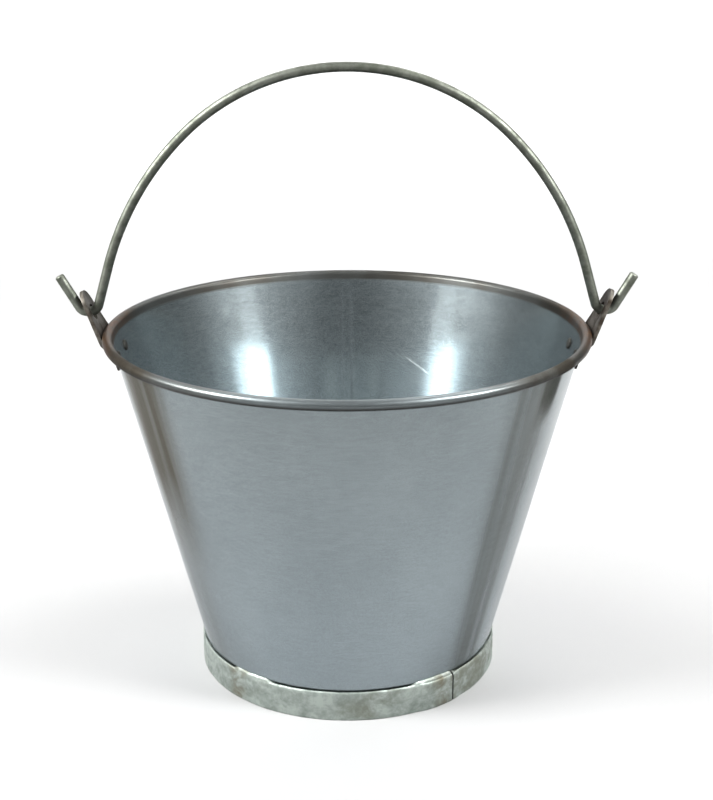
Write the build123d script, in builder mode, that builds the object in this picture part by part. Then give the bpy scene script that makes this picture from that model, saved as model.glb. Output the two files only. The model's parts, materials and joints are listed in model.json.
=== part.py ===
from build123d import *
import os
from math import cos, radians, sin, tan

# Galvanised steel feed bucket, 12 litres, with a swinging wire bail.
# Frame: +Z up, millimetres. The origin is on the floor at the middle of the
# foot ring. The two ears, and so the bail's hinge line, lie along X.

os.makedirs("parts", exist_ok=True)

# ---------------------------------------------------------------- driving sizes
rim_diameter = 330.0        # over the rolled rim
bucket_height = 243.5       # floor to the top of the rim
wall_slope = 14.3           # degrees between the wall and the vertical
sheet = 0.7                 # wall and base steel
bead_radius = 3.4           # outside of the rolled rim
curl_sweep = 300.0          # degrees the sheet is rolled round the rim wire

foot_diameter = 210.0       # outside of the foot ring
foot_height = 21.0
foot_sheet = 1.0
foot_crimp = 2.0            # height over which the ring's top edge leans in
foot_lap_angle = -48.0      # where the outer end of the ring's lap stands
foot_lap_span = 11.0        # degrees of full overlap
foot_lap_ramp = 5.0         # degrees over which the outer layer steps out

base_height = 9.0           # floor to the underside of the base
seam_overlap = 2.4          # how far the base is folded back over the wall's flange

lock_seam_width = 7.0       # the wall's upright seam, inside at the back
lock_seam_rise = 1.0
lock_seam_foot_gap = 1.5    # between the base and the seam's lower end
lock_seam_head_gap = 2.0    # between the bead's centre and the seam's upper end
lock_seam_blank_arc = 6.0   # degrees revolved, which is then trimmed to the seam's width

pivot_height = 254.0        # hinge line of the bail
ear_thickness = 2.5
ear_lean = 23.0             # degrees between the ear's upper leg and the vertical
ear_foot_drop = 26.0        # rim top to the ear's lower edge
ear_base_width = 42.0
ear_top_radius = 10.5
ear_top_rise = 4.0          # centre of the ear's round top above the hinge line
ear_hole_diameter = 10.6
ear_shoulder_height = 18.0  # straight-sided part at the ear's foot
ear_corner_radius = 5.0
ear_bend_radius = 3.5       # inside face, where the plate steps round the bead
ear_blank_arc = 12.0        # degrees revolved each way, which is then trimmed to the outline
joggle_foot_drop = 8.8      # from the bead's centre down to where the step starts
joggle_head_drop = 4.3      # and to where it ends
bead_gap = 0.6              # between the plate and the bead

rivet_spacing = 28.0
rivet_drop = 17.5           # rim top to the rivets
rivet_diameter = 4.5
rivet_head_diameter = 8.5
rivet_head_height = 2.2
rivet_tail_diameter = 8.0
rivet_tail_height = 1.3
rivet_tail_bevel = 0.8
rivet_seat_gap = 0.1        # the flat tail bridges the wall's curve

bail_wire_diameter = 6.5
bail_rise = 162.1           # centre line of the bail's top above the hinge line
bail_top_radius = 154.0     # centre line of the round top
bail_top_span = 88.8        # degrees of round top
bail_flank_radius = 203.0   # flatter curve from the round top to each leg
bail_splay = 16.4           # degrees between each straight leg and the vertical
bail_eye_run = 10.0         # wire along the hinge line, corner to corner
bail_bend_radii = (6.5, 5.5)  # centre lines of the bends inside and outside an ear
hook_angle = 60.0           # degrees above the hinge line
hook_length = 28.5
bail_tip_bevel = 0.8

# ---------------------------------------------------------------- derived sizes
sides = {"right": 1, "left": -1}
slope = radians(wall_slope)
lean = radians(ear_lean)
bead_centre_x = rim_diameter / 2 - bead_radius
bead_centre_z = bucket_height - bead_radius
rim_wire_radius = bead_radius - sheet
drill_length = 4 * ear_thickness      # clears the wall and an ear at a rivet
cutter_length = 2 * rim_diameter      # clears both ears at once

# The wall meets the bead along a tangent, so its outer face touches the rim wire.
wall_top_x = bead_centre_x - rim_wire_radius * cos(slope)
wall_top_z = bead_centre_z + rim_wire_radius * sin(slope)


def wall_outer_radius(z):
    """Radius of the wall's outer face at height z."""
    return wall_top_x - (wall_top_z - z) * tan(slope)


def wall_inner_radius(z):
    """Radius of the wall's inner face at height z."""
    return wall_outer_radius(z) - sheet / cos(slope)


rivet_z = bucket_height - rivet_drop


def rivet_planes(side):
    """Planes on the wall's outer face at one ear's two rivets, facing outwards."""
    planes = []
    for across in (-rivet_spacing / 2, rivet_spacing / 2):
        along = side * (wall_outer_radius(rivet_z) ** 2 - across**2) ** 0.5
        outwards = Vector(along, across, 0).normalized() * cos(slope)
        facing = outwards - Vector(0, 0, sin(slope))
        planes.append(Plane(origin=(along, across, rivet_z), z_dir=facing))
    return planes


base_top = base_height + sheet
flange_top = base_top + sheet
foot_radius = foot_diameter / 2
foot_inner_radius = foot_radius - foot_sheet
flange_radius = foot_inner_radius - sheet


# ---------------------------------------------------------------- lock seam
# A ridge of folded sheet down the inside of the wall, at the back.
seam_foot_z = base_top + lock_seam_foot_gap
seam_head_z = bead_centre_z - lock_seam_head_gap
with BuildPart() as lock_seam:
    with BuildSketch(Plane.YZ):
        with BuildLine():
            Polyline(
                (wall_inner_radius(seam_foot_z), seam_foot_z),
                (wall_inner_radius(seam_head_z), seam_head_z),
                (wall_inner_radius(seam_head_z) - lock_seam_rise, seam_head_z),
                (wall_inner_radius(seam_foot_z) - lock_seam_rise, seam_foot_z),
                close=True,
            )
        make_face()
    revolve(axis=Axis.Z, revolution_arc=lock_seam_blank_arc)
    split(bisect_by=Plane.YZ.offset(-lock_seam_width / 2), keep=Keep.TOP)
    mirror(about=Plane.YZ)

# ---------------------------------------------------------------- wall
# One sheet: an outward flange at the foot, the sloping wall, and the rolled rim.
curl_start = 180 - wall_slope
curl_end = radians(curl_start - curl_sweep)
bead_centre = (bead_centre_x, bead_centre_z)
with BuildPart() as bucket_wall:
    with BuildSketch(Plane.XZ):
        with BuildLine():
            Polyline(
                (wall_top_x, wall_top_z),
                (wall_outer_radius(flange_top), flange_top),
                (flange_radius, flange_top),
                (flange_radius, base_top),
                (wall_inner_radius(base_top), base_top),
                (
                    bead_centre_x - bead_radius * cos(slope),
                    bead_centre_z + bead_radius * sin(slope),
                ),
            )
            CenterArc(bead_centre, bead_radius, curl_start, -curl_sweep)
            Line(
                (
                    bead_centre_x + bead_radius * cos(curl_end),
                    bead_centre_z + bead_radius * sin(curl_end),
                ),
                (
                    bead_centre_x + rim_wire_radius * cos(curl_end),
                    bead_centre_z + rim_wire_radius * sin(curl_end),
                ),
            )
            CenterArc(bead_centre, rim_wire_radius, curl_start, -curl_sweep)
        make_face()
    revolve(axis=Axis.Z)
    add(lock_seam.part)
    for side in sides.values():
        with Locations(*rivet_planes(side)):
            Cylinder(rivet_diameter / 2, drill_length, mode=Mode.SUBTRACT)
bucket_wall.part.label = "bucket_wall"
export_step(bucket_wall.part, "parts/bucket_wall.step")

# ---------------------------------------------------------------- rim wire
with BuildPart() as rim_wire:
    with BuildSketch(Plane.XZ):
        with Locations(bead_centre):
            Circle(rim_wire_radius)
    revolve(axis=Axis.Z)
rim_wire.part.label = "rim_wire"
export_step(rim_wire.part, "parts/rim_wire.step")

# ---------------------------------------------------------------- base
# A disc whose edge is folded up and back over the wall's flange.
fold_top = flange_top + sheet
with BuildPart() as base_disc:
    with BuildSketch(Plane.XZ):
        with BuildLine():
            Polyline(
                (0, base_height),
                (foot_inner_radius, base_height),
                (foot_inner_radius, fold_top),
                (foot_inner_radius - seam_overlap, fold_top),
                (foot_inner_radius - seam_overlap, flange_top),
                (flange_radius, flange_top),
                (flange_radius, base_top),
                (0, base_top),
                close=True,
            )
        make_face()
    revolve(axis=Axis.Z)
base_disc.part.label = "base_disc"
export_step(base_disc.part, "parts/base_disc.step")

# ---------------------------------------------------------------- foot ring
crimp_z = foot_height - foot_crimp
crimp_inner_radius = wall_outer_radius(foot_height)
lap_radius = foot_radius + foot_sheet
with BuildPart() as foot_ring:
    with BuildSketch(Plane.XZ):
        with BuildLine():
            Polyline(
                (foot_inner_radius, 0),
                (foot_radius, 0),
                (foot_radius, crimp_z),
                (crimp_inner_radius + foot_sheet, foot_height),
                (crimp_inner_radius, foot_height),
                (foot_inner_radius, crimp_z),
                close=True,
            )
        make_face()
    revolve(axis=Axis.Z)
    # The outer end of the band laps over the band itself, and ramps out to do so.
    with BuildSketch():
        with BuildLine():
            outer = CenterArc((0, 0), lap_radius, foot_lap_angle, -foot_lap_span)
            inner = CenterArc(
                (0, 0), foot_radius, foot_lap_angle, -foot_lap_span - foot_lap_ramp
            )
            Line(outer @ 0, inner @ 0)
            Line(outer @ 1, inner @ 1)
        make_face()
    extrude(amount=crimp_z)
foot_ring.part.label = "foot_ring"
export_step(foot_ring.part, "parts/foot_ring.step")

# ---------------------------------------------------------------- ears
# Section of an ear: flat on the wall below, out round the bead, then up and outwards.
touch_x = bead_centre_x + (bead_radius + bead_gap) * cos(lean)
touch_z = bead_centre_z - (bead_radius + bead_gap) * sin(lean)
joggle_foot_z = bead_centre_z - joggle_foot_drop
joggle_head_z = bead_centre_z - joggle_head_drop
ear_foot_z = bucket_height - ear_foot_drop
round_top_z = pivot_height + ear_top_rise
section_top_z = round_top_z + ear_top_radius + ear_thickness


def ear_inner_x(z):
    """Distance from the bucket's axis to the inner face of an ear's upper leg."""
    return touch_x + (z - touch_z) * tan(lean)


for side_name, side in sides.items():
    with BuildPart() as outline:
        with BuildSketch(Plane.YZ):
            with Locations((0, round_top_z)):
                Circle(ear_top_radius)
            with Locations((0, ear_foot_z + ear_shoulder_height / 2)):
                RectangleRounded(ear_base_width, ear_shoulder_height, ear_corner_radius)
            make_hull()
        extrude(amount=side * rim_diameter)
    with BuildPart() as ear:
        with BuildSketch(Plane(origin=(0, 0, 0), x_dir=(side, 0, 0), z_dir=(0, -side, 0))):
            with BuildLine():
                FilletPolyline(
                    (wall_outer_radius(ear_foot_z), ear_foot_z),
                    (wall_outer_radius(joggle_foot_z), joggle_foot_z),
                    (ear_inner_x(joggle_head_z), joggle_head_z),
                    (ear_inner_x(section_top_z), section_top_z),
                    radius=ear_bend_radius,
                )
                offset(amount=ear_thickness, side=Side.RIGHT, closed=True)
            make_face()
        revolve(axis=Axis.Z, revolution_arc=ear_blank_arc)
        mirror(about=Plane.XZ)
        add(outline.part, mode=Mode.INTERSECT)
        with Locations(Plane(origin=(0, 0, pivot_height), z_dir=(1, 0, 0))):
            Cylinder(ear_hole_diameter / 2, cutter_length, mode=Mode.SUBTRACT)
        with Locations(*rivet_planes(side)):
            Cylinder(rivet_diameter / 2, drill_length, mode=Mode.SUBTRACT)
    ear.part.label = f"{side_name}_ear"
    export_step(ear.part, f"parts/{side_name}_ear.step")

# ---------------------------------------------------------------- rivets
# One rivet, with its axis on Z and the wall's outer face at Z = 0.
with BuildPart() as rivet:
    with BuildSketch(Plane.XZ):
        with BuildLine():
            head_foot = (rivet_head_diameter / 2, ear_thickness)
            head_top = (0, ear_thickness + rivet_head_height)
            tail_z = -sheet - rivet_seat_gap
            Polyline(
                head_top,
                (0, tail_z - rivet_tail_height),
                (rivet_tail_diameter / 2 - rivet_tail_bevel, tail_z - rivet_tail_height),
                (rivet_tail_diameter / 2, tail_z),
                (rivet_diameter / 2, tail_z),
                (rivet_diameter / 2, ear_thickness),
                head_foot,
            )
            TangentArc(head_top, head_foot, tangent=(1, 0))
        make_face()
    revolve(axis=Axis.Z)

for side_name, side in sides.items():
    with BuildPart() as ear_rivets:
        with Locations(*rivet_planes(side)):
            add(rivet.part)
    ear_rivets.part.label = f"{side_name}_ear_rivets"
    export_step(ear_rivets.part, f"parts/{side_name}_ear_rivets.step")

# ---------------------------------------------------------------- bail
# The wire runs from one hooked tip through the ear, over the top and down to the other.
splay = radians(bail_splay)
shoulder_angle = 90 - bail_top_span / 2
shoulder = radians(shoulder_angle)
top_centre_z = pivot_height + bail_rise - bail_top_radius
radius_step = bail_flank_radius - bail_top_radius
flank_centre_x = -radius_step * cos(shoulder)
flank_centre_z = top_centre_z - radius_step * sin(shoulder)
leg_top_x = flank_centre_x + bail_flank_radius * cos(splay)
leg_top_z = flank_centre_z + bail_flank_radius * sin(splay)
eye_x = leg_top_x + (leg_top_z - pivot_height) * tan(splay)
hook_x = eye_x + bail_eye_run
hook_rise = radians(hook_angle)
with BuildPart() as bail_handle:
    with BuildLine(Plane.XZ) as bail_path:
        CenterArc((0, top_centre_z), bail_top_radius, shoulder_angle, bail_top_span)
        for side in sides.values():
            CenterArc(
                (side * flank_centre_x, flank_centre_z),
                bail_flank_radius,
                90 - side * (90 - bail_splay),
                side * (shoulder_angle - bail_splay),
            )
            FilletPolyline(
                (side * leg_top_x, leg_top_z),
                (side * eye_x, pivot_height),
                (side * hook_x, pivot_height),
                (
                    side * (hook_x + hook_length * cos(hook_rise)),
                    pivot_height + hook_length * sin(hook_rise),
                ),
                radius=bail_bend_radii,
            )
    wire = bail_path.wires()[0]
    with BuildSketch(Plane(origin=wire @ 0, z_dir=wire % 0)):
        Circle(bail_wire_diameter / 2)
    sweep(path=wire)
    end_faces = bail_handle.faces().filter_by(GeomType.PLANE)
    chamfer(end_faces.edges(), bail_tip_bevel)
bail_handle.part.label = "bail_handle"
export_step(bail_handle.part, "parts/bail_handle.step")
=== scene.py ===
"""Galvanised feed bucket with a wire bail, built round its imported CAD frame.

Everything is in metres in the row frame: +Z up, origin on the floor at the middle of the
foot ring, the ears and the bail's hinge line along X.
"""
import json
from math import cos, exp, pi, radians, sin, tan

import bpy
import numpy as np
from mathutils import Matrix, Vector


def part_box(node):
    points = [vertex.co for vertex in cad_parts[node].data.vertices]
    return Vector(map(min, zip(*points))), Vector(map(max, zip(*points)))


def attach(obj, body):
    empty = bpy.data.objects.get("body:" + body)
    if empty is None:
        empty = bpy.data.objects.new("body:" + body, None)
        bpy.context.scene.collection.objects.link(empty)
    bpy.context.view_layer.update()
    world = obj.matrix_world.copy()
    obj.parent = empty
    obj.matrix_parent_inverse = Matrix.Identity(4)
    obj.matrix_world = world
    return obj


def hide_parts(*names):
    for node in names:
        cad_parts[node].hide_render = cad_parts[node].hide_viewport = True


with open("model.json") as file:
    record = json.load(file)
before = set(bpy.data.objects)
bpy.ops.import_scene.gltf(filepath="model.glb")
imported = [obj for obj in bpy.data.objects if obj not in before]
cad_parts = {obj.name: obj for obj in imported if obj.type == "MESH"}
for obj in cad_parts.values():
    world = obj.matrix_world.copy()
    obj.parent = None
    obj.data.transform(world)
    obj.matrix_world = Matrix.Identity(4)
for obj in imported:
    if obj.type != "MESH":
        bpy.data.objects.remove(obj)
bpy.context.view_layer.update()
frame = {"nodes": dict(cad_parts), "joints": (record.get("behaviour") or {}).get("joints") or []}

# ---------------------------------------------------------------- sizes
MM = 0.001
SIDES = {"right": 1, "left": -1}

RIM_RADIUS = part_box("bucket_wall")[1].x
RIM_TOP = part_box("bucket_wall")[1].z
FOOT_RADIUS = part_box("foot_ring")[1].x
FOOT_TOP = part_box("foot_ring")[1].z
BASE_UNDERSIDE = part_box("base_disc")[0].z
HINGE_Z = frame["joints"][0]["pos_m"][2]
EAR_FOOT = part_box("right_ear")[0].z
EAR_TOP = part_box("right_ear")[1].z
EAR_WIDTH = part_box("right_ear")[1].y * 2
WIRE_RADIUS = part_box("bail_handle")[1].y

SHARP = radians(35)
SHEET = 0.7 * MM
WALL_SLOPE = radians(14.3)
BEAD_RADIUS = 3.4 * MM
CURL_SWEEP = radians(300)
SEAM_AT = pi / 2
SEAM_WIDTH = 7.0 * MM
SEAM_RISE = 0.28 * MM

BEAD_R = RIM_RADIUS - BEAD_RADIUS
BEAD_Z = RIM_TOP - BEAD_RADIUS
RIM_WIRE_RADIUS = BEAD_RADIUS - SHEET
WALL_TOP_R = BEAD_R - RIM_WIRE_RADIUS * cos(WALL_SLOPE)
WALL_TOP_Z = BEAD_Z + RIM_WIRE_RADIUS * sin(WALL_SLOPE)
BASE_TOP = BASE_UNDERSIDE + SHEET
FLANGE_TOP = BASE_TOP + SHEET

FOOT_SHEET = 1.0 * MM
LAP_ANGLE = radians(-48)
LAP_SPAN = radians(11)
LAP_RAMP = radians(5)
RIDGE_RUN = radians(5)
FOOT_LEAN = 0.55 * MM

# The ring pressed in the base climbs inwards from its outer edge and drops from its inner one.
PRESS_OUTER = 82 * MM
PRESS_INNER = 72 * MM
PRESS_SLOPE = 5 * MM
PRESS_RISE = 1.3 * MM

EAR_THICKNESS = 2.5 * MM
EAR_LEAN = radians(23)
EAR_GAP = 0.6 * MM
EAR_TOP_RADIUS = 10.5 * MM
EAR_CORNER = 5 * MM
EAR_SHOULDER = 18 * MM
EAR_BEND = 3.5 * MM
EAR_HOLE = 5.3 * MM

# Round the foot ring: the slit at the lap's end, brown stains, and where zinc fills the groove.
SLIT_WIDTH = radians(0.55)
STAINS = (LAP_ANGLE - radians(4), radians(-136))
FILLED = (radians(-56), radians(-129))
FILL_REACH = radians(12)

# The scratch inside: its middle's angle and height, and how far it climbs for each radian.
SCRATCH_AT = radians(67.5)
SCRATCH_Z = 0.175
SCRATCH_SLANT = 0.076

RIVET_Z = RIM_TOP - 17.5 * MM
RIVET_SPACING = 28 * MM

# Base colours: the darkest and lightest shade of each metal, then what lies on it.
SHEET_LOW = (0.240, 0.280, 0.300), (0.305, 0.351, 0.372)
# Darker shades for the upper sheet: painted shade towards the top.
SHEET_HIGH_SHADED = (0.197, 0.226, 0.236), (0.261, 0.298, 0.309)
FOOT_SHADES = (0.195, 0.225, 0.204), (0.350, 0.390, 0.362)
EAR_SHADES = (0.024, 0.018, 0.013), (0.088, 0.081, 0.069)
RIVET_SHADES = (0.018, 0.017, 0.015), (0.050, 0.050, 0.046)
WIRE_SHADES = (0.100, 0.108, 0.088), (0.180, 0.190, 0.163)
RIM_BROWN = (0.038, 0.033, 0.026)
RUST = (0.100, 0.046, 0.018)
# Painted shade under the rolled rim:
RIM_UNDER_SHADE = (0.022, 0.021, 0.020)
SCRATCHED = (0.78, 0.82, 0.82)
# Painted shade in the groove over the foot ring:
GROOVE_SHADE = (0.070, 0.076, 0.070)
FOOT_GRIME = (0.170, 0.170, 0.130)
LAP_STAIN = (0.150, 0.135, 0.095)
# Painted shade in the lap's slit:
SLIT_SHADE = (0.020, 0.022, 0.020)
PAPER = (0.325, 0.325, 0.325)

# Painted reflections and shade: dark streaks down the wall that stand in for the floor's shadows
# and dark surroundings mirrored in it. Angle, half width, length, strength and colour.
BROWN, GREY, BLACK = (0.080, 0.070, 0.050), (0.076, 0.080, 0.070), (0.035, 0.040, 0.035)
PAINTED_REFLECTION_RUNS = (
    (radians(-148), radians(15), 0.15, 1.35, BROWN),
    (radians(-150), radians(14), 0.40, 0.45, GREY),
    (radians(-34), radians(6), 0.045, 1.9, BLACK),
    (radians(-41), radians(12), 0.40, 0.80, GREY),
)


def wall_radius(z):
    """Radius of the wall's outer face at height z."""
    return WALL_TOP_R - (WALL_TOP_Z - z) * tan(WALL_SLOPE)


def wall_inner(z):
    """Radius of the wall's inner face at height z."""
    return wall_radius(z) - SHEET / cos(WALL_SLOPE)


def smooth(t):
    """0 below 0, 1 above 1, and an easy curve between."""
    t = np.clip(t, 0, 1)
    return t * t * (3 - 2 * t)


# ---------------------------------------------------------------- mesh helpers
def new_object(name, verts, faces, sharp=SHARP):
    """A smooth-shaded mesh object with its hard edges kept."""
    mesh = bpy.data.meshes.new(name)
    mesh.from_pydata([tuple(v) for v in verts], [], faces)
    mesh.validate()
    mesh.shade_smooth()
    mesh.set_sharp_from_angle(angle=sharp)
    obj = bpy.data.objects.new(name, mesh)
    bpy.context.scene.collection.objects.link(obj)
    return obj


def grid_faces(rows, cols, wrap_rows, wrap_cols, start=0):
    """Quads of a grid of points numbered row by row."""
    faces = []
    for i in range(rows if wrap_rows else rows - 1):
        for j in range(cols if wrap_cols else cols - 1):
            k, m = (i + 1) % rows, (j + 1) % cols
            corners = (i * cols + j, k * cols + j, k * cols + m, i * cols + m)
            faces.append(tuple(start + c for c in corners))
    return faces


def lathe(name, stations, section_at, sharp=SHARP):
    """A closed section carried round the Z axis.

    section_at gives a station's points as (angle, r, z).
    """
    sections = [section_at(station) for station in stations]
    verts = [(r * cos(a), r * sin(a), z) for section in sections for a, r, z in section]
    faces = grid_faces(len(sections), len(sections[0]), True, True)
    return new_object(name, verts, faces, sharp)


def rounded_line(points, radii, step=radians(6)):
    """Points along a 2-D polyline whose inner corners are rounded."""
    out = [Vector(points[0])]
    for before, corner, after, radius in zip(points, points[1:], points[2:], radii):
        a = (Vector(before) - Vector(corner)).normalized()
        b = (Vector(after) - Vector(corner)).normalized()
        half = a.angle(b) / 2
        centre = Vector(corner) + (a + b).normalized() * (radius / sin(half))
        start = Vector(corner) + a * (radius / tan(half)) - centre
        turn = (pi - 2 * half) * (1 if a.cross(b) < 0 else -1)
        count = max(2, int(abs(turn) / step) + 1)
        for i in range(count + 1):
            out.append(centre + Matrix.Rotation(turn * i / count, 2) @ start)
    out.append(Vector(points[-1]))
    return out


def arc_points(centre, radius, start, end, count):
    """Points (x, z) on a circle from one angle to another."""
    return [
        Vector((centre[0] + radius * cos(a), centre[1] + radius * sin(a)))
        for a in np.linspace(start, end, count)
    ]


def ride_as(piece, body, node=None):
    """The piece moves with a body and may stand for a CAD node."""
    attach(piece, body)
    if node:
        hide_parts(node)


# ---------------------------------------------------------------- material helpers
class Nodes:
    """Short ways to add and join shader nodes in one material."""

    def __init__(self, name, **settings):
        """A new material. The settings are its shader's inputs, with _ for a space."""
        self.material = bpy.data.materials.new(name)
        self.material.use_nodes = True
        self.tree = self.material.node_tree
        self.shader = self.tree.nodes["Principled BSDF"]
        for socket, value in settings.items():
            self.shader.inputs[socket.replace("_", " ")].default_value = value
        self.place = self.add("ShaderNodeTexCoord").outputs["Object"]

    def add(self, kind, inputs=None, **settings):
        """A new node. Each input is a value, or another node's output to join to it."""
        node = self.tree.nodes.new(kind)
        for key, value in settings.items():
            setattr(node, key, value)
        for key, value in (inputs or {}).items():
            if isinstance(value, bpy.types.NodeSocket):
                self.tree.links.new(value, node.inputs[key])
            else:
                node.inputs[key].default_value = value
        return node

    def stretched(self, scale):
        """The place on the object, with each axis scaled."""
        return self.add("ShaderNodeMapping", {"Vector": self.place, "Scale": scale}).outputs[0]

    def noise(self, scale, detail=3.0, roughness=0.5, distortion=0.0):
        """Noise from 0 to 1, with its own scale along each axis."""
        inputs = {
            "Vector": self.stretched(scale),
            "Scale": 1.0,
            "Detail": detail,
            "Roughness": roughness,
            "Distortion": distortion,
        }
        return self.add("ShaderNodeTexNoise", inputs).outputs["Fac"]

    def axis(self, name):
        """How far along X, Y or Z the place is."""
        return self.add("ShaderNodeSeparateXYZ", {"Vector": self.place}).outputs[name]

    def vector(self, operation, inputs, output=0):
        """The outcome of a vector operation."""
        return self.add("ShaderNodeVectorMath", inputs, operation=operation).outputs[output]

    def streaks(self, around, up, detail=3.0):
        """Noise that runs up the wall's slope: fine round the bucket, long up it."""
        outwards = self.vector("NORMALIZE", {0: self.stretched((1, 1, 0))})
        spread = self.vector("SCALE", {0: outwards, "Scale": around})
        where = self.vector("ADD", {0: spread, 1: self.stretched((0, 0, up))})
        inputs = {"Vector": where, "Scale": 1.0, "Detail": detail}
        return self.add("ShaderNodeTexNoise", inputs).outputs["Fac"]

    def turn_from(self, angle):
        """How far round the Z axis the place is from an angle. It doesn't carry over at -X."""
        turn = self.math("ARCTAN2", self.axis("Y"), self.axis("X"))
        return self.math("SUBTRACT", turn, angle)

    def near_angle(self, angle, full, none):
        """1 within full of an angle round the Z axis, falling to 0 at none."""
        off = self.math("ABSOLUTE", self.turn_from(angle))
        return self.ranged(off, full, none, 1.0, 0.0, "SMOOTHSTEP")

    def product(self, *factors):
        """All the factors multiplied together."""
        result = factors[0]
        for factor in factors[1:]:
            result = self.math("MULTIPLY", result, factor)
        return result

    def blend(self, *parts):
        """The sum of values, each with its weight."""
        value, weight = parts[0]
        result = self.math("MULTIPLY", value, weight)
        for value, weight in parts[1:]:
            result = self.math("ADD", result, self.math("MULTIPLY", value, weight))
        return result

    def math(self, operation, a, b=0.0):
        """The outcome of an operation on one or two numbers."""
        return self.add("ShaderNodeMath", {0: a, 1: b}, operation=operation).outputs[0]

    def ranged(self, value, low, high, to_low=0.0, to_high=1.0, ease="LINEAR"):
        """The value moved from one range to another, held at its ends."""
        inputs = {
            "Value": value,
            "From Min": low,
            "From Max": high,
            "To Min": to_low,
            "To Max": to_high,
        }
        return self.add("ShaderNodeMapRange", inputs, interpolation_type=ease).outputs["Result"]

    def mix(self, factor, a, b):
        """A colour between a and b."""
        node = self.add("ShaderNodeMix", data_type="RGBA")
        # In a colour mix, input 0 is the factor, 6 and 7 are the colours, and output 2 the result.
        for socket, value in zip((0, 6, 7), (factor, a, b)):
            if isinstance(value, bpy.types.NodeSocket):
                self.tree.links.new(value, node.inputs[socket])
            elif socket == 0:
                node.inputs[socket].default_value = value
            else:
                node.inputs[socket].default_value = (*value, 1)
        return node.outputs[2]

    def bump(self, height, distance, strength=1.0, under=None):
        """A normal bent by a height, on top of another bump if there is one."""
        inputs = {"Height": height, "Distance": distance, "Strength": strength}
        if under:
            inputs["Normal"] = under
        return self.add("ShaderNodeBump", inputs).outputs["Normal"]

    def finish(self, colour, roughness, normal):
        """Join the outcomes to the shader. Gives the material."""
        for socket, value in (("Base Color", colour), ("Roughness", roughness), ("Normal", normal)):
            self.tree.links.new(value, self.shader.inputs[socket])
        return self.material


def with_painted_reflection_runs(n, colour, z, outside):
    """The sheet's colour with painted reflections streaked down in front of each ear, further on
    the left.

    Gives how strongly each place is streaked as well.
    """
    streaks = n.streaks(15, 4, 1.5)
    streaked = 0.0
    for angle, half_width, length, strength, tint in PAINTED_REFLECTION_RUNS:
        fade = n.ranged(z, RIM_TOP - length, RIM_TOP - 0.5 * length)
        streak_depth = n.ranged(streaks, 0.36, 0.62, 0.56 * strength, 0.86 * strength)
        painted_reflection = n.product(n.near_angle(angle, 0.3 * half_width, half_width), fade, streak_depth, outside)
        colour = n.mix(painted_reflection, colour, tint)
        streaked = n.math("MAXIMUM", painted_reflection, streaked)
    return colour, streaked


def with_rim_brown_and_highlight(n, colour, rolled, clouds):
    """The sheet's colour with a brown rim, thinned over the front as a painted highlight, and rusty
    beside the ears.
    """
    across = n.math("ABSOLUTE", n.axis("X"))
    to_side = n.ranged(across, 0.05, 0.13, 0.38, 1.0)
    # Painted highlight: the rim's brown is thinned over the front so it looks lit there.
    beyond_front_highlight = n.math("MAXIMUM", to_side, n.ranged(n.axis("Y"), -0.04, 0.04))
    brown = n.product(rolled, n.ranged(clouds, 0.3, 0.6, 0.7, 1.0), beyond_front_highlight)
    colour = n.mix(brown, colour, RIM_BROWN)
    beside_ear = n.ranged(across, 0.150, 0.163)
    patches = n.ranged(n.noise((160, 160, 160), 3), 0.42, 0.58, 0.3, 0.95)
    return n.mix(n.product(rolled, beside_ear, patches), colour, RUST)


def with_scratch(n, colour, z, outside):
    """The sheet's colour with a pale scratch slanting across the wall inside."""
    line = n.math("ADD", n.math("MULTIPLY", n.turn_from(SCRATCH_AT), SCRATCH_SLANT), SCRATCH_Z)
    off_line = n.math("ABSOLUTE", n.math("SUBTRACT", z, line))
    scratch = n.product(
        n.ranged(off_line, 0.2 * MM, 1.1 * MM, 0.6, 0.0),
        n.near_angle(SCRATCH_AT, radians(2), radians(5)),
        n.math("SUBTRACT", 1.0, outside),
    )
    return n.mix(scratch, colour, SCRATCHED)


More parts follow.
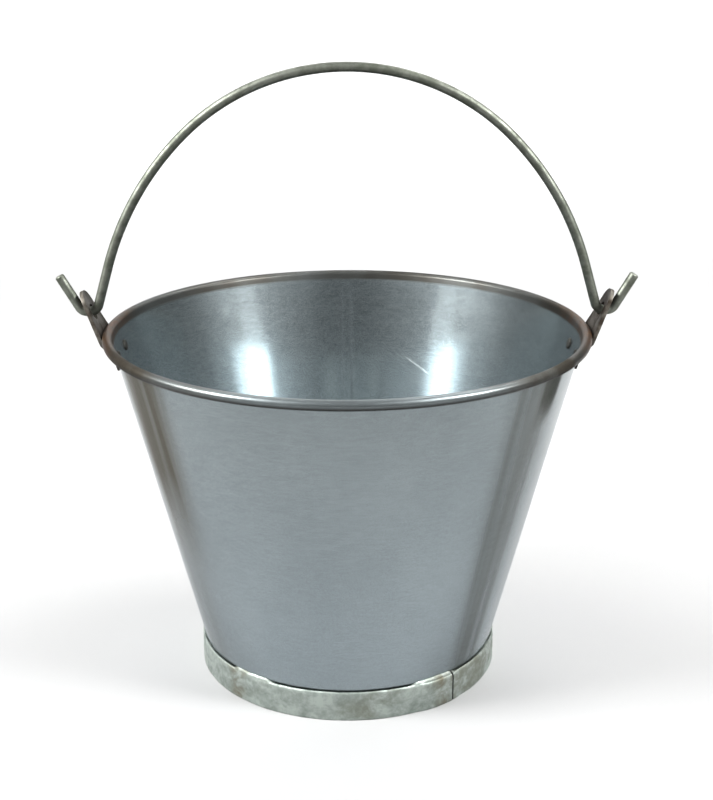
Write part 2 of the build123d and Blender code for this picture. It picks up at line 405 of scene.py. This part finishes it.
def zinc_sheet():
    """Rolled galvanised sheet: satin, with short fine grain round the bucket and soft clouds."""
    n = Nodes("zinc_sheet", Metallic=1.0)
    dashes = n.noise((95, 95, 820), 3, 0.55)
    grain = n.noise((260, 260, 2600), 2, 0.5)
    crystals = n.noise((5000, 5000, 8000), 1, 0.5)
    clouds = n.noise((11, 11, 9), 3, 0.55)
    tone = n.ranged(n.blend((dashes, 0.42), (grain, 0.28), (clouds, 0.30)), 0.38, 0.62)
    z = n.axis("Z")
    # Painted shade: the sheet is darker towards the top.
    colour = n.mix(n.ranged(z, 0.06, 0.22), n.mix(tone, *SHEET_LOW), n.mix(tone, *SHEET_HIGH_SHADED))
    # The wall's outer face and what lies beyond it are outside; its inner face isn't.
    radius = n.vector("LENGTH", {0: n.stretched((1, 1, 0))}, "Value")
    outer_face = n.math("ADD", n.math("MULTIPLY", z, tan(WALL_SLOPE)), wall_radius(0))
    outside = n.ranged(n.math("SUBTRACT", radius, outer_face), -0.55 * MM, -0.25 * MM)
    rolled = n.ranged(z, BEAD_Z - 4 * MM, BEAD_Z - 2 * MM)
    # Painted reflections: dark streaks in front of the ears stand in for shadows and dark
    # surroundings mirrored in the wall.
    colour, streaked = with_painted_reflection_runs(n, colour, z, outside)
    colour = with_rim_brown_and_highlight(n, colour, rolled, clouds)
    # Painted shade lies outside, under the roll and in the corner where it meets the wall.
    under = n.product(
        outside,
        n.ranged(z, BEAD_Z - 5.5 * MM, BEAD_Z - 3.6 * MM),
        n.ranged(z, BEAD_Z - 1.8 * MM, BEAD_Z - 0.1 * MM, 0.90, 0.0),
    )
    colour = n.mix(under, colour, RIM_UNDER_SHADE)
    colour = with_scratch(n, colour, z, outside)
    # Painted shade lies in the groove where the foot ring starts.
    edge = n.math("ADD", z, n.math("MULTIPLY", n.noise((70, 70, 70)), -1.6 * MM))
    groove = n.ranged(edge, FOOT_TOP - 0.2 * MM, FOOT_TOP + 0.6 * MM, 0.75, 0.0)
    colour = n.mix(groove, colour, GROOVE_SHADE)
    # Dull and bright crystals lie side by side: a sharp reflection with a wide haze round it.
    roughness = n.ranged(crystals, 0.49, 0.60, 0.13, 0.50)
    roughness = n.math("ADD", roughness, n.blend((rolled, 0.20), (streaked, 0.30)))
    normal = n.bump(grain, 0.008 * MM)
    normal = n.bump(clouds, 0.3 * MM, 0.5, normal)
    return n.finish(colour, roughness, normal)


def foot_zinc():
    """Hot-dipped zinc, dull and blotched, with grime at the lap and along the floor."""
    n = Nodes("foot_zinc", Metallic=0.80)
    blotch = n.noise((80, 80, 105), 4, 0.6, 0.4)
    fine = n.noise((330, 330, 330), 3, 0.6)
    clouds = n.noise((17, 17, 30), 2)
    shade = n.blend((blotch, 0.7), (fine, 0.3))
    colour = n.mix(n.ranged(shade, 0.38, 0.62), *FOOT_SHADES)
    grime = n.product(n.ranged(clouds, 0.50, 0.66, 0.0, 0.6), n.ranged(shade, 0.60, 0.42))
    colour = n.mix(grime, colour, FOOT_GRIME)
    for angle in STAINS:
        patches = n.ranged(blotch, 0.38, 0.56, 0.75, 0.10)
        colour = n.mix(n.product(n.near_angle(angle, 0.01, 0.11), patches), colour, LAP_STAIN)
    # Painted shade lies in the slit at the end of the lap.
    slit = n.near_angle(LAP_ANGLE + SLIT_WIDTH / 2, 0.6 * SLIT_WIDTH, SLIT_WIDTH)
    colour = n.mix(slit, colour, SLIT_SHADE)
    normal = n.bump(fine, 0.10 * MM, 0.6)
    normal = n.bump(blotch, 0.7 * MM, 0.6, normal)
    return n.finish(colour, n.ranged(shade, 0.35, 0.65, 0.66, 0.48), normal)


def ear_steel():
    """Dull plate with thin zinc, brown where it has worn."""
    n = Nodes("ear_steel", Metallic=0.9)
    worn = n.noise((90, 90, 90), 4, 0.6)
    fine = n.noise((600, 600, 600), 2)
    colour = n.mix(n.ranged(worn, 0.40, 0.60), *EAR_SHADES)
    normal = n.bump(fine, 0.05 * MM, 0.7)
    return n.finish(colour, n.ranged(worn, 0.35, 0.65, 0.66, 0.48), normal)


def rivet_zinc():
    """Hammered rivets with a dull coat."""
    n = Nodes("rivet_zinc", Metallic=0.9)
    blotch = n.noise((260, 260, 260), 3)
    colour = n.mix(n.ranged(blotch, 0.40, 0.60), *RIVET_SHADES)
    roughness = n.ranged(blotch, 0.35, 0.65, 0.78, 0.64)
    return n.finish(colour, roughness, n.bump(blotch, 0.25 * MM, 0.6))


def wire_zinc():
    """Zinc-coated wire: dull, slightly green and thinly blotched."""
    n = Nodes("wire_zinc", Metallic=1.0)
    blotch = n.noise((120, 120, 120), 4, 0.6)
    fine = n.noise((900, 900, 900), 2)
    colour = n.mix(n.ranged(blotch, 0.38, 0.62), *WIRE_SHADES)
    normal = n.bump(fine, 0.02 * MM, 0.5)
    normal = n.bump(blotch, 0.12 * MM, 0.5, normal)
    return n.finish(colour, n.ranged(blotch, 0.35, 0.65, 0.60, 0.48), normal)


def studio_paper():
    """The pale floor."""
    return Nodes("studio_paper", Roughness=0.9, Base_Color=(*PAPER, 1)).material


ZINC_SHEET = zinc_sheet()
FOOT_ZINC = foot_zinc()
EAR_STEEL = ear_steel()
RIVET_ZINC = rivet_zinc()
WIRE_ZINC = wire_zinc()


# ---------------------------------------------------------------- the wall and its rolled rim
def sheet_waves(angle, z):
    """The sheet isn't a true cone: rolling leaves long soft flats along it."""
    fade = smooth((z - FOOT_TOP) / 0.03) * smooth((BEAD_Z - 2 * BEAD_RADIUS - z) / 0.02)
    wave = 0.16 * sin(5 * angle + 0.7) + 0.09 * sin(9 * angle + 2.1 + 6 * z)
    wave += 0.035 * sin(23 * angle + 1.3 - 9 * z) + 0.016 * sin(51 * angle + 0.4)
    # Folding the seam pulled the sheet in on both sides of it.
    turn = (angle - SEAM_AT + pi) % (2 * pi) - pi
    wave -= 0.30 * exp(-((turn / radians(5)) ** 2))
    return wave * fade * MM


def seam_height(offset):
    """How far the folded seam stands proud of the wall's inner face."""
    return SEAM_RISE * smooth((SEAM_WIDTH / 2 + 1.5 * MM - abs(offset)) / (3.4 * MM))


def seam_groove(offset):
    """Depth of the fine line where the fold closes, on the outside."""
    return 0.35 * MM * smooth(1 - abs(offset - SEAM_WIDTH / 2) / (0.6 * MM))


def wall_columns():
    """Columns round the wall: close together at the seam, where they keep its width, else even.

    Gives the columns, and a function for the angle of a column at a radius.
    """
    near = [u * MM for u in (0, 1.4, 2.4, 2.9, 3.2, 3.5, 3.8, 4.1, 4.6, 5.4, 6.6, 8.0)]
    near = [-u for u in near[:0:-1]] + near
    edge, clear, even_count = near[-1], radians(9), 343
    columns = [("offset", u) for u in near]
    columns += [("blend", t) for t in (0.25, 0.5, 0.75)]
    columns += [("angle", a) for a in np.linspace(clear, 2 * pi - clear, even_count)]
    columns += [("blend", t) for t in (-0.75, -0.5, -0.25)]

    def angle_at(column, radius):
        kind, value = column
        if kind == "offset":
            return SEAM_AT + value / radius
        if kind == "angle":
            return SEAM_AT + value
        reach = edge / radius + (clear - edge / radius) * abs(value)
        return SEAM_AT + (reach if value > 0 else -reach)

    return columns, angle_at


def build_wall():
    """One sheet from its lower flange to the curl, with the lock seam inside at the back."""
    rows = 40
    start = pi - WALL_SLOPE
    end = start - CURL_SWEEP
    bead = (BEAD_R, BEAD_Z)
    outer = [(wall_radius(z), z, "outer") for z in np.linspace(FLANGE_TOP, WALL_TOP_Z, rows)]
    inside = [(p.x, p.y, "curl") for p in arc_points(bead, RIM_WIRE_RADIUS, start, end, 14)[1:]]
    roll = [(p.x, p.y, "curl") for p in arc_points(bead, BEAD_RADIUS, end, start, 40)]
    inner = [(wall_inner(z), z, "inner") for z in np.linspace(WALL_TOP_Z, BASE_TOP, rows)[1:]]
    flange_r = FOOT_RADIUS - FOOT_SHEET - SHEET
    section = outer + inside + roll + inner + [(flange_r, BASE_TOP, ""), (flange_r, FLANGE_TOP, "")]
    columns, angle_at = wall_columns()

    def column_points(column):
        points = []
        for r, z, face in section:
            angle = angle_at(column, r)
            offset = (angle - SEAM_AT) * r
            r += sheet_waves(angle, z)
            ends = smooth((z - BASE_TOP - 2 * MM) / (2 * MM)) * smooth((BEAD_Z - z) / (4 * MM))
            if face == "inner":
                r -= seam_height(offset) * ends
            if face == "outer":
                r -= seam_groove(offset) * ends
            points.append((angle, r, z))
        return points

    wall = lathe("bucket_sheet", columns, column_points)
    wall.data.materials.append(ZINC_SHEET)
    ride_as(wall, "bucket", "bucket_wall")


# ---------------------------------------------------------------- the base
def build_base():
    """The raised bottom, with a shallow pressed ring, folded over the wall's flange."""
    rim = FOOT_RADIUS - FOOT_SHEET
    fold_top = FLANGE_TOP + SHEET
    fold_in = rim - 2.4 * MM
    middle = [0.5 * MM, 15 * MM, 40 * MM, 60 * MM]
    pressed = np.linspace(66, 84, 25) * MM
    radii = np.concatenate([middle, pressed, [92 * MM, wall_inner(BASE_TOP)]])

    def rise(r):
        climbed = smooth((PRESS_OUTER - r) / PRESS_SLOPE)
        dropped = smooth((PRESS_INNER - r) / PRESS_SLOPE)
        return PRESS_RISE * (climbed - dropped)

    top = [(r, BASE_TOP + rise(r)) for r in radii]
    under = [(r, BASE_UNDERSIDE + rise(r)) for r in radii[::-1]]
    fold = [
        (rim - SHEET, BASE_TOP),
        (rim - SHEET, FLANGE_TOP),
        (fold_in, FLANGE_TOP),
        (fold_in, fold_top),
        (rim, fold_top),
        (rim, BASE_UNDERSIDE),
    ]
    section = top + fold + under
    base = lathe(
        "bucket_floor",
        np.linspace(0, 2 * pi, 180, endpoint=False),
        lambda angle: [(angle, r, z) for r, z in section],
    )
    base.data.materials.append(ZINC_SHEET)
    ride_as(base, "bucket", "base_disc")


def build_corner_zinc():
    """Zinc that ran into the corner between the base and the wall and froze there."""

    def section(angle):
        size = (1.5 + 0.4 * sin(3 * angle) + 0.3 * sin(11 * angle + 1) + 0.2 * sin(29 * angle)) * MM
        corner = wall_inner(BASE_TOP)
        low = BASE_TOP - 0.1 * MM
        points = [(corner, low), (corner - size, low)]
        for t in np.linspace(0, 1, 6):
            lift = size * (1 - cos(t * pi / 2))
            points.append((corner - size * (1 - sin(t * pi / 2)) * 0.9, BASE_TOP + lift))
        points.append((wall_inner(BASE_TOP + size) + 0.1 * MM, BASE_TOP + size))
        return [(angle, r, z) for r, z in points]

    fillet = lathe("corner_zinc", np.linspace(0, 2 * pi, 240, endpoint=False), section, radians(70))
    fillet.data.materials.append(FOOT_ZINC)
    ride_as(fillet, "bucket")


# ---------------------------------------------------------------- the foot ring
def lap_step(angle):
    """How far the band's outer end lies out over the band, at an angle from the lap."""
    back = (LAP_ANGLE - angle + pi) % (2 * pi) - pi
    if back >= 0:
        return FOOT_SHEET * float(smooth((LAP_SPAN + LAP_RAMP - back) / LAP_RAMP))
    # Past the slit, zinc has frozen in a ridge that runs out on to the band.
    past = -back - SLIT_WIDTH
    ridge = smooth(past / radians(0.25)) * smooth(1 - past / RIDGE_RUN)
    return FOOT_SHEET * 0.75 * float(ridge)


def filled_with_zinc(angle):
    """1 where zinc has closed the groove over the foot ring, 0 where the groove is open."""
    near = max(1 - abs(angle - middle) / FILL_REACH for middle in FILLED)
    return float(smooth(near * 2.2))


def build_foot():
    """The hoop that the bucket stands on: a lapped band, dipped in zinc and a little uneven."""
    inner = FOOT_RADIUS - FOOT_SHEET
    edge = 0.35 * MM
    # Angles past the slit, evenly round the band, up the lap's ramp and at its end.
    past = [radians(t) for t in (0.02, 0.2, 0.4, 0.55, 0.6, 0.65, 0.7, 0.75, 0.8, 0.9, 1.1, 1.4)]
    even = LAP_ANGLE + np.linspace(radians(1.8), 2 * pi - LAP_SPAN - LAP_RAMP, 330)
    ramp = LAP_ANGLE - np.linspace(LAP_SPAN + LAP_RAMP, 0, 40)[1:-1]
    angles = [LAP_ANGLE + t for t in past] + list(even) + list(ramp)
    angles += [LAP_ANGLE - radians(0.2), LAP_ANGLE]

    def section(angle):
        step = lap_step(angle)
        uneven = (0.10 * sin(17 * angle) + 0.08 * sin(41 * angle + 2) + 0.05 * sin(97 * angle)) * MM
        outer = FOOT_RADIUS - 0.15 * MM + step + uneven * 0.5
        top = FOOT_TOP - 0.4 * MM + uneven - 0.3 * MM * step / FOOT_SHEET
        low = 0.15 * MM - min(uneven, 0.15 * MM) * 0.6 + edge
        points = [(inner, low), (inner + edge, 0.0), (outer - edge, 0.0), (outer, low)]
        for t in np.linspace(0.08, 0.86, 9):
            lump = 0.07 * sin(13 * angle + 9 * t) + 0.06 * sin(37 * angle - 14 * t)
            points.append((outer + lump * MM, top * t))
        # The band's upper edge leans in to the wall and is rounded.
        points.append((outer - 0.3 * FOOT_LEAN, top - 1.2 * MM))
        points.append((outer - FOOT_LEAN - 0.1 * MM, top - 0.25 * MM))
        points.append((outer - FOOT_LEAN - 0.45 * MM, top))
        points.append((inner - FOOT_LEAN * 0.5, top - 0.2 * MM))
        points.append((inner, top - 2.2 * MM))
        return [(angle, r, z) for r, z in points]

    band = lathe("foot_band", angles, section, radians(50))
    band.data.materials.append(FOOT_ZINC)
    ride_as(band, "bucket", "foot_ring")


def build_groove_zinc():
    """Zinc that stands in the joint over the foot ring, brimming over along two stretches."""

    def section(angle):
        fill = filled_with_zinc(angle)
        ripple = (0.15 * sin(31 * angle) + 0.10 * sin(73 * angle + 1)) * MM
        inner_z = FOOT_TOP - (1.5 - 2.9 * fill) * MM + ripple
        outer_z = FOOT_TOP - (1.5 - 1.0 * fill) * MM + ripple * 0.5
        outer = FOOT_RADIUS - (1.1 - 0.6 * fill) * MM
        inner = wall_radius(inner_z) - 0.1 * MM
        middle = ((inner + outer) / 2, (inner_z + outer_z) / 2 + 0.1 * fill * MM)
        low = FOOT_TOP - 3 * MM
        points = [(inner, inner_z), middle, (outer, outer_z), (outer, low)]
        points.append((wall_radius(low) - 0.1 * MM, low))
        return [(angle, r, z) for r, z in points]

    zinc = lathe("groove_zinc", np.linspace(-pi, pi, 480, endpoint=False), section, radians(70))
    zinc.data.materials.append(FOOT_ZINC)
    ride_as(zinc, "bucket")


# ---------------------------------------------------------------- the ears
def ear_section():
    """Inner face of an ear from foot to top, as points (radius, height)."""
    touch_r = BEAD_R + (BEAD_RADIUS + EAR_GAP) * cos(EAR_LEAN)
    touch_z = BEAD_Z - (BEAD_RADIUS + EAR_GAP) * sin(EAR_LEAN)
    step_foot, step_head = BEAD_Z - 8.8 * MM, BEAD_Z - 4.3 * MM
    top = EAR_TOP + 2 * MM
    foot = EAR_FOOT - 1 * MM
    line = [
        (wall_radius(foot), foot),
        (wall_radius(step_foot), step_foot),
        (touch_r + (step_head - touch_z) * tan(EAR_LEAN), step_head),
        (touch_r + (top - touch_z) * tan(EAR_LEAN), top),
    ]
    return rounded_line(line, [EAR_BEND, EAR_BEND])


def ear_reach(direction):
    """Distance from the hinge line to the ear's outline, seen along X."""
    foot = EAR_FOOT - HINGE_Z
    centre_y = EAR_WIDTH / 2 - EAR_CORNER
    discs = [(0, EAR_TOP - EAR_TOP_RADIUS - HINGE_Z, EAR_TOP_RADIUS)]
    for y in (-centre_y, centre_y):
        for z in (foot + EAR_CORNER, foot + EAR_SHOULDER - EAR_CORNER):
            discs.append((y, z, EAR_CORNER))
    turns = np.linspace(0, 2 * pi, 1440, endpoint=False)
    normals = np.c_[np.cos(turns), np.sin(turns)]
    support = np.max([normals @ np.array(d[:2]) + d[2] for d in discs], axis=0)
    facing = normals @ np.array((cos(direction), sin(direction)))
    ahead = facing > 1e-3
    return float((support[ahead] / facing[ahead]).min())


def build_ear(side_name, side):
    """A bent plate with a round top, pierced for the bail and rounded on its edges."""
    around, rings = 144, 44
    line = ear_section()
    heights = [p.y for p in line]
    radii = [p.x for p in line]
    verts = []
    for direction in np.linspace(0, 2 * pi, around, endpoint=False):
        reach = ear_reach(direction)
        for t in np.linspace(0, 1, rings):
            far = EAR_HOLE + (reach - EAR_HOLE) * t
            y, z = far * cos(direction), HINGE_Z + far * sin(direction)
            r = float(np.interp(z, heights, radii))
            verts.append((side * (r * r - y * y) ** 0.5, y, z))
    faces = grid_faces(around, rings, True, False)
    if side > 0:
        faces = [face[::-1] for face in faces]
    ear = new_object(f"{side_name}_ear_plate", verts, faces)
    plate = ear.modifiers.new("plate", "SOLIDIFY")
    plate.thickness = EAR_THICKNESS
    plate.offset = 1
    plate.use_even_offset = True
    rounding = ear.modifiers.new("rounding", "BEVEL")
    rounding.width = 0.45 * MM
    rounding.segments = 3
    rounding.limit_method = "ANGLE"
    rounding.angle_limit = radians(50)
    ear.data.materials.append(EAR_STEEL)
    ride_as(ear, "bucket", f"{side_name}_ear")


# ---------------------------------------------------------------- the rivets
def build_rivets(side_name, side):
    """Two rivets with low domed heads outside and flattened tails inside."""
    # The section in millimetres: distance from the rivet's axis, and height off the wall.
    plate = EAR_THICKNESS / MM
    shank = 2.25
    tail = [(0.05, -2.1), (2.2, -2.1), (3.2, -1.9), (3.75, -1.5), (3.95, -1.1), (4.0, -0.8)]
    dome = [(4.25 * cos(t), plate + 2.2 * sin(t)) for t in np.linspace(0, pi / 2, 9)[:-1]]
    section = tail + [(shank, -0.8), (shank, plate)] + dome + [(0.05, plate + 2.2)]
    turns = np.linspace(0, 2 * pi, 36, endpoint=False)
    verts, faces = [], []
    for across in (-RIVET_SPACING / 2, RIVET_SPACING / 2):
        along = side * (wall_radius(RIVET_Z) ** 2 - across**2) ** 0.5
        outwards = Vector((along, across, 0)).normalized() * cos(WALL_SLOPE)
        facing = (outwards - Vector((0, 0, sin(WALL_SLOPE)))).normalized()
        right = facing.cross(Vector((0, 0, 1))).normalized()
        up = right.cross(facing)
        start = len(verts)
        for turn in turns:
            for radius, rise in section:
                dent = 1 + 0.02 * sin(3 * turn + across * 400 + side) + 0.012 * sin(7 * turn + rise)
                spoke = right * cos(turn) + up * sin(turn)
                point = Vector((along, across, RIVET_Z))
                point += spoke * (radius * dent * MM) + facing * (rise * MM)
                verts.append(point)
        faces += [f[::-1] for f in grid_faces(len(turns), len(section), True, True, start)]
    rivets = new_object(f"{side_name}_rivet_pair", verts, faces, radians(40))
    rivets.data.materials.append(RIVET_ZINC)
    ride_as(rivets, "bucket", f"{side_name}_ear_rivets")


# ---------------------------------------------------------------- the bail
BAIL_RISE = 162.1 * MM
BAIL_TOP_RADIUS = 154 * MM
BAIL_TOP_SPAN = radians(88.8)
BAIL_FLANK_RADIUS = 203 * MM
BAIL_SPLAY = radians(16.4)
EYE_RUN = 10 * MM
EYE_BEND = 6.5 * MM
HOOK_BEND = 5.5 * MM
HOOK_ANGLE = radians(60)
HOOK_LENGTH = 28.5 * MM
TIP_BEVEL = 0.8 * MM


def bail_half():
    """Centre line of the bail's right half, from the top to the hook's tip, as (x, z)."""
    shoulder = pi / 2 - BAIL_TOP_SPAN / 2
    top = (0, HINGE_Z + BAIL_RISE - BAIL_TOP_RADIUS)
    step = BAIL_FLANK_RADIUS - BAIL_TOP_RADIUS
    flank = (-step * cos(shoulder), top[1] - step * sin(shoulder))
    line = arc_points(top, BAIL_TOP_RADIUS, pi / 2, shoulder, 40)
    line += arc_points(flank, BAIL_FLANK_RADIUS, shoulder, BAIL_SPLAY, 30)[1:]
    leg_top = line[-1]
    eye_x = leg_top.x + (leg_top.y - HINGE_Z) * tan(BAIL_SPLAY)
    hook_x = eye_x + EYE_RUN
    tip = (hook_x + HOOK_LENGTH * cos(HOOK_ANGLE), HINGE_Z + HOOK_LENGTH * sin(HOOK_ANGLE))
    corners = [leg_top, (eye_x, HINGE_Z), (hook_x, HINGE_Z), tip]
    return line[:-1] + rounded_line(corners, [EYE_BEND, HOOK_BEND], radians(5))


def build_bail():
    """Round wire carried along the bail, with cut and slightly blunted ends."""
    around = 28
    half = bail_half()
    line = [Vector((-p.x, p.y)) for p in half[:0:-1]] + half
    rings = []
    for before, point, after in zip(line[:1] + line, line, line[1:] + line[-1:]):
        rings.append((point, (after - before).normalized(), WIRE_RADIUS))
    first, first_way, _ = rings[0]
    last, last_way, _ = rings[-1]
    rings[0] = (first + first_way * TIP_BEVEL, first_way, WIRE_RADIUS)
    rings[-1] = (last - last_way * TIP_BEVEL, last_way, WIRE_RADIUS)
    rings.insert(0, (first, first_way, WIRE_RADIUS - TIP_BEVEL))
    rings.append((last, last_way, WIRE_RADIUS - TIP_BEVEL))
    verts = []
    for point, ahead, radius in rings:
        for turn in np.linspace(0, 2 * pi, around, endpoint=False):
            out = radius * cos(turn)
            verts.append((point.x - ahead.y * out, radius * sin(turn), point.y + ahead.x * out))
    faces = grid_faces(len(rings), around, False, True)
    faces.append(tuple(range(around)))
    faces.append(tuple(range(len(verts) - 1, len(verts) - around - 1, -1)))
    bail = new_object("bail_wire", verts, faces, radians(30))
    bail.data.materials.append(WIRE_ZINC)
    ride_as(bail, "bail", "bail_handle")


# ---------------------------------------------------------------- stage, light and camera
LIGHT_DISTANCE = 1.6
WHITE, WARM = (1, 1, 1), (1.0, 0.93, 0.80)
# Soft boxes aimed at the rim: degrees from the front, positive to the right, and elevation in
# degrees; width and height in metres; power in watts; colour.
SOFT_BOXES = {
    "key_right": (60, 35, 0.42, 0.56, 40, WHITE),
    "key_left": (-69, 35, 0.60, 0.56, 58, WHITE),
    # Weak and wide round the keys: a soft border to the highlights inside.
    "skirt_right": (62, 33, 1.00, 0.50, 7, WHITE),
    "skirt_left": (-70, 33, 1.20, 0.50, 10, WHITE),
    # Low: the highlights carried up to the rim, fading sideways.
    "low_right": (59, 11, 0.32, 0.16, 0.16, WHITE),
    "low_right_wide": (61, 11, 0.52, 0.18, 0.18, WHITE),
    "low_right_widest": (62, 11, 0.72, 0.20, 0.07, WHITE),
    "low_left": (-59, 11, 0.32, 0.16, 0.16, WHITE),
    "low_left_wide": (-61, 11, 0.52, 0.18, 0.18, WHITE),
    "low_left_widest": (-62, 11, 0.72, 0.20, 0.07, WHITE),
    "side_right": (79, 14, 0.46, 0.16, 0.3, WHITE),
    "side_left": (-79, 14, 0.46, 0.16, 0.3, WHITE),
    "front_right": (29, 21, 0.56, 0.26, 0.3, WHITE),
    "front_left": (-29, 21, 0.56, 0.26, 0.3, WHITE),
    "back_strip": (180, 39, 1.60, 0.40, 4, WHITE),
    # Slots high behind: faint warm bands beside the seam.
    "slot_left": (-168, 40, 0.22, 0.50, 0.8, WARM),
    "slot_right": (153, 40, 0.22, 0.50, 0.8, WARM),
}
CAMERA_PLACE = (0, -0.982, 0.5157)
CAMERA_TILT = 18.35
CAMERA_TURN = -0.21


def build_stage():
    """A pale paper sweep: flat under and around the bucket, curving up behind it."""
    front, back, bend, top, half_width = -4.0, 3.2, 1.2, 4.5, 5.0
    section = [(front, 0.0), (back, 0.0)]
    section += [(back + bend * sin(t), bend * (1 - cos(t))) for t in np.linspace(0, pi / 2, 13)[1:]]
    section.append((back + bend, top))
    verts = [(x, y, z) for x in (-half_width, half_width) for y, z in section]
    faces = grid_faces(2, len(section), False, False)
    sweep = new_object("paper_sweep", verts, [f[::-1] for f in faces])
    sweep.data.materials.append(studio_paper())


def area_light(name, place, target, width, height, power, colour=WHITE, spread=pi):
    """A rectangular light at a place, turned to a target."""
    data = bpy.data.lights.new(name, "AREA")
    data.shape = "RECTANGLE"
    data.size = width
    data.size_y = height
    data.energy = power
    data.color = colour
    data.spread = spread
    light = bpy.data.objects.new(name, data)
    bpy.context.scene.collection.objects.link(light)
    light.location = place
    light.rotation_euler = (Vector(target) - Vector(place)).to_track_quat("-Z", "Y").to_euler()


def build_lights():
    """The soft boxes round the bucket, and the lights that keep the paper white."""
    aim = Vector((0, 0, RIM_TOP))
    for name, (angle, elevation, *size, power, colour) in SOFT_BOXES.items():
        turn, lift = radians(angle), radians(elevation)
        away = Vector((sin(turn) * cos(lift), -cos(turn) * cos(lift), sin(lift)))
        area_light(name, aim + LIGHT_DISTANCE * away, aim, *size, power, colour)
    area_light("background", (0, 1.7, 1.7), (0, 3.4, 0), 3.4, 0.8, 150)
    area_light("far_background", (0, 2.9, 1.8), (0, 4.2, 0.3), 4.2, 0.5, 110)
    # The paper where the keys throw the bucket's shadows.
    for name, side, power in (("fill_right", 1, 6.5), ("fill_left", -1, 3.2)):
        place, target = (0.62 * side, 0.35, 1.0), (0.50 * side, 0.35, 0)
        area_light(name, place, target, 0.3, 0.9, power, spread=radians(100))
    world = bpy.data.worlds.new("studio")
    world.use_nodes = True
    sky = world.node_tree.nodes["Background"]
    sky.inputs["Color"].default_value = (0.92, 0.97, 1.0, 1)
    sky.inputs["Strength"].default_value = 0.12
    bpy.context.scene.world = world
    bpy.context.scene.view_settings.view_transform = "Standard"


def build_camera():
    """The photograph's camera, as fitted to the rim, the foot ring, the ears and the bail."""
    data = bpy.data.cameras.new("camera")
    data.lens = 67.33
    data.sensor_width = 36
    data.shift_x = 0.0115
    camera = bpy.data.objects.new("camera", data)
    camera.location = CAMERA_PLACE
    camera.rotation_mode = "ZYX"
    camera.rotation_euler = (radians(90 - CAMERA_TILT), 0, radians(CAMERA_TURN))
    bpy.context.scene.collection.objects.link(camera)
    bpy.context.scene.camera = camera


build_camera()
build_lights()
build_stage()
build_wall()
build_base()
build_corner_zinc()
build_foot()
build_groove_zinc()
for side_name, side in SIDES.items():
    build_ear(side_name, side)
    build_rivets(side_name, side)
build_bail()
# The wire in the rim is hidden, so the CAD one stays.
rim_wire = frame["nodes"]["rim_wire"]
rim_wire.data.materials.clear()
rim_wire.data.materials.append(WIRE_ZINC)
